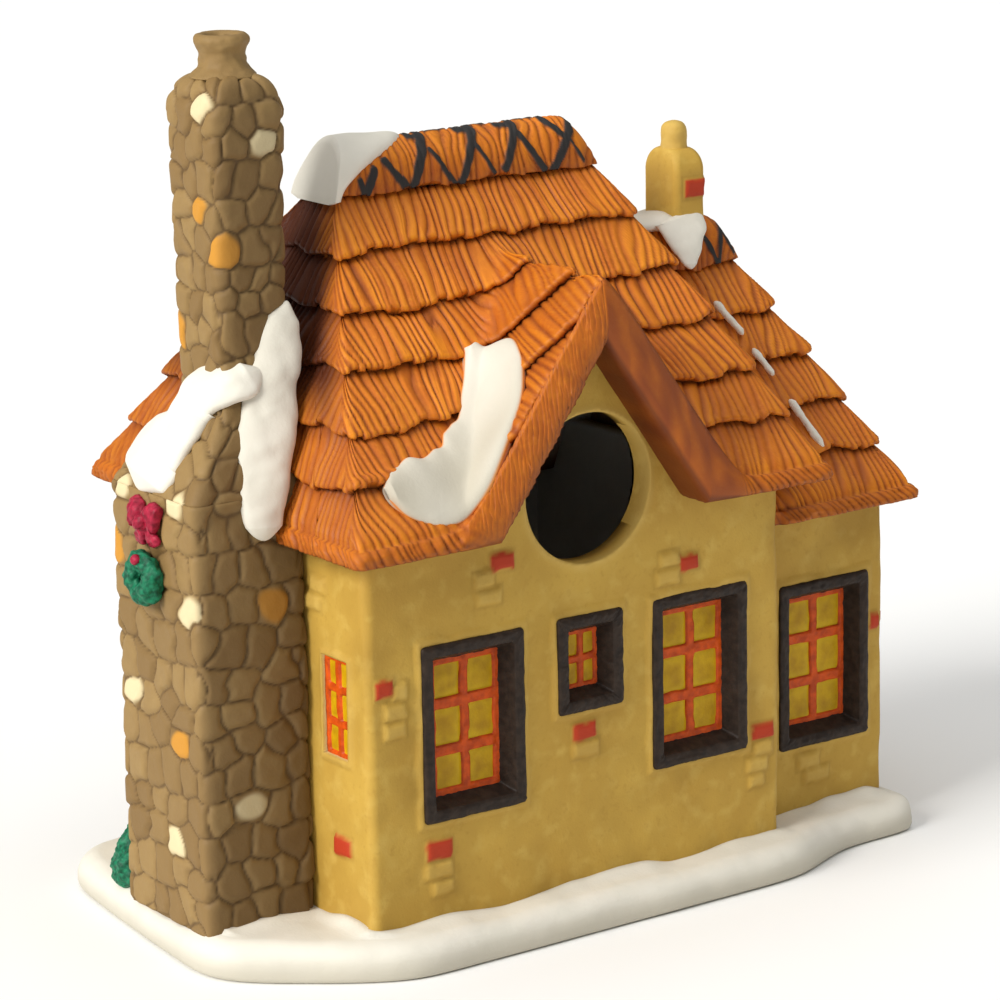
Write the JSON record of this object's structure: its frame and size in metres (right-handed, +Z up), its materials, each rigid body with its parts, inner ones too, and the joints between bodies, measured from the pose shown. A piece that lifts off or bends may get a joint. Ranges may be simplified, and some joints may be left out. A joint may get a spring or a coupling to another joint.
{
  "type": "lighted village cottage",
  "caption": "Hollow porcelain village cottage with a hipped thatched roof, a cross gable over a round lamp hole, a stone chimney, a low wing and a snow base.",
  "frame": {"origin": "centre of the snow base's flat underside", "axes": "+Z up through the roof; +X along the house from the stone chimney to the wing; -Y out of the back wall, which has the round lamp hole; +Y out of the front wall, which has the door"},
  "size_m": [0.1671, 0.0992, 0.1742],
  "materials": {
    "bisque_cream": "cream yellow underglaze on matte bisque, rubbed darker in the hollows",
    "thatch_glaze": "orange brown stain on combed thatch relief, dark in the grooves",
    "ridge_thatch": "orange brown stain with charcoal ties painted over it",
    "fieldstone": "tan stain on stone relief, with a few cream and ochre stones",
    "snow_white": "matte white bisque",
    "window_brown": "dark brown paint on matte bisque",
    "lattice_red": "brushed red orange paint",
    "pane_yellow": "brushed yellow paint",
    "door_brown": "brown paint on matte bisque",
    "wreath_green": "green paint on rough bisque",
    "bow_red": "crimson paint on matte bisque"
  },
  "bodies": {
    "root": {"back_wall": "bisque_cream", "chimney_bow": "bow_red", "chimney_breast": "fieldstone", "chimney_pot": "fieldstone", "chimney_shoulder": "fieldstone", "chimney_shrub": "wreath_green", "chimney_stack": "fieldstone", "chimney_wall": "bisque_cream", "chimney_wreath": "wreath_green", "end_window_lattice": "lattice_red", "end_window_panes": "pane_yellow", "front_door": "door_brown", "front_door_frame": "window_brown", "front_left_window_frame": "window_brown", "front_left_window_lattice": "lattice_red", "front_left_window_panes": "pane_yellow", "front_right_window_frame": "window_brown", "front_right_window_lattice": "lattice_red", "front_right_window_panes": "pane_yellow", "front_step": "fieldstone", "front_wall": "bisque_cream", "front_wing_window_frame": "window_brown", "front_wing_window_lattice": "lattice_red", "front_wing_window_panes": "pane_yellow", "gable_roof": "thatch_glaze", "gable_snow": "snow_white", "left_window_frame": "window_brown", "left_window_lattice": "lattice_red", "left_window_panes": "pane_yellow", "main_ridge_cap": "ridge_thatch", "main_roof": "thatch_glaze", "passage_wall": "bisque_cream", "ridge_snow": "snow_white", "right_window_frame": "window_brown", "right_window_lattice": "lattice_red", "right_window_panes": "pane_yellow", "shoulder_snow": "snow_white", "small_chimney": "bisque_cream", "small_chimney_pot": "bisque_cream", "small_chimney_snow": "snow_white", "small_window_frame": "window_brown", "small_window_lattice": "lattice_red", "small_window_panes": "pane_yellow", "snow_base": "snow_white", "verge_snow": "snow_white", "wing_ridge_cap": "ridge_thatch", "wing_roof": "thatch_glaze", "wing_walls": "bisque_cream", "wing_window_frame": "window_brown", "wing_window_lattice": "lattice_red", "wing_window_panes": "pane_yellow", "wreath_berry": "bow_red"}
  },
  "joints": []
}
